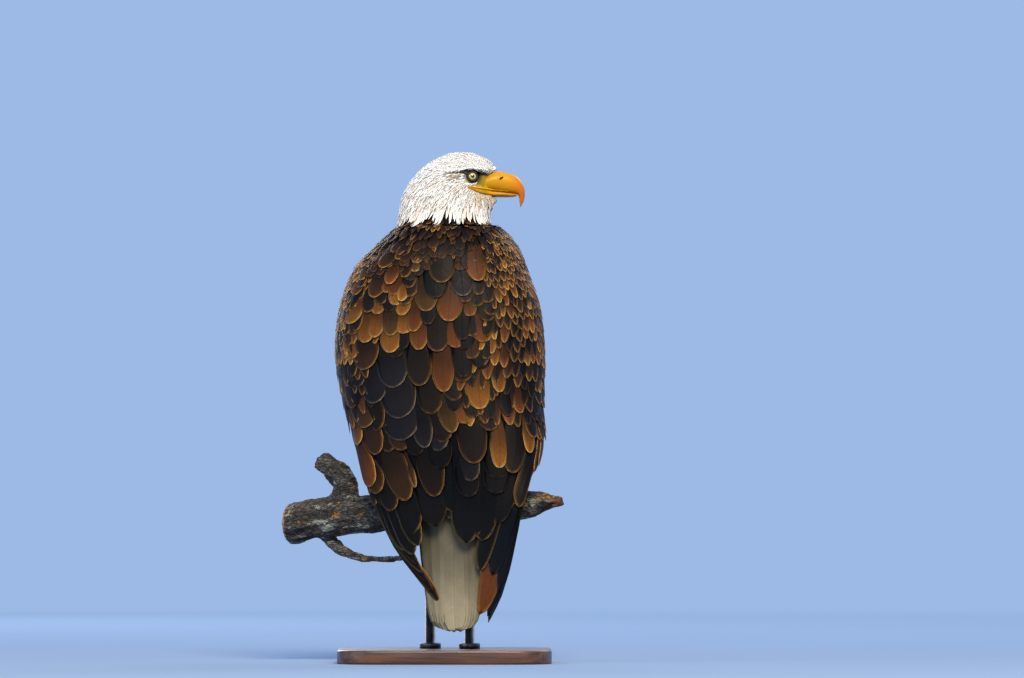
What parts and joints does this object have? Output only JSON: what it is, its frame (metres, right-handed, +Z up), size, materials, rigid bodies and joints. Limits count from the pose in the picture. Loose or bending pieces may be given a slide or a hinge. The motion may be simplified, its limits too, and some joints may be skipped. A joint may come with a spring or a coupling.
{
  "type": "bald eagle",
  "caption": "Life-size perched bald eagle seen from behind with its head turned in profile, gripping a cut length of branch on a plain display stand.",
  "frame": {"origin": "middle of the underside of the stand's base, on the surface it rests on", "axes": "+Z up; +X the way the bill points; +Y away from the bird's back, so the trunk faces +Y turned 18 degrees towards +X"},
  "size_m": [0.4559, 0.3022, 0.818],
  "materials": {
    "feathers_brown": "satin dark brown feathers with paler edges",
    "feathers_white": "soft white feathers",
    "flight_feathers": "satin blackish feathers",
    "bill": "smooth yellow horn",
    "eye": "wet, pale yellow iris and black pupil",
    "foot_skin": "scaly yellow skin",
    "talon": "smooth black horn",
    "bark": "rough grey-brown bark with lichen",
    "stand_wood": "satin dark wood",
    "stand_metal": "satin dark grey"
  },
  "bodies": {
    "root": {"trunk": "feathers_brown", "neck": "feathers_white", "head": "feathers_white", "bill_upper": "bill", "bill_lower": "bill", "eye_left": "eye", "eye_right": "eye", "wing_left_coverts": "feathers_brown", "wing_left_secondaries": "flight_feathers", "wing_left_primaries": "flight_feathers", "wing_right_coverts": "feathers_brown", "wing_right_secondaries": "flight_feathers", "wing_right_primaries": "flight_feathers", "tail": "feathers_white", "thigh_left": "feathers_brown", "thigh_right": "feathers_brown", "foot_left": "foot_skin", "foot_right": "foot_skin", "talon_left_inner": "talon", "talon_left_middle": "talon", "talon_left_outer": "talon", "talon_left_hind": "talon", "talon_right_inner": "talon", "talon_right_middle": "talon", "talon_right_outer": "talon", "talon_right_hind": "talon", "perch": "bark", "stand_base": "stand_wood", "stand_rod_left": "stand_metal", "stand_rod_right": "stand_metal"}
  },
  "joints": []
}
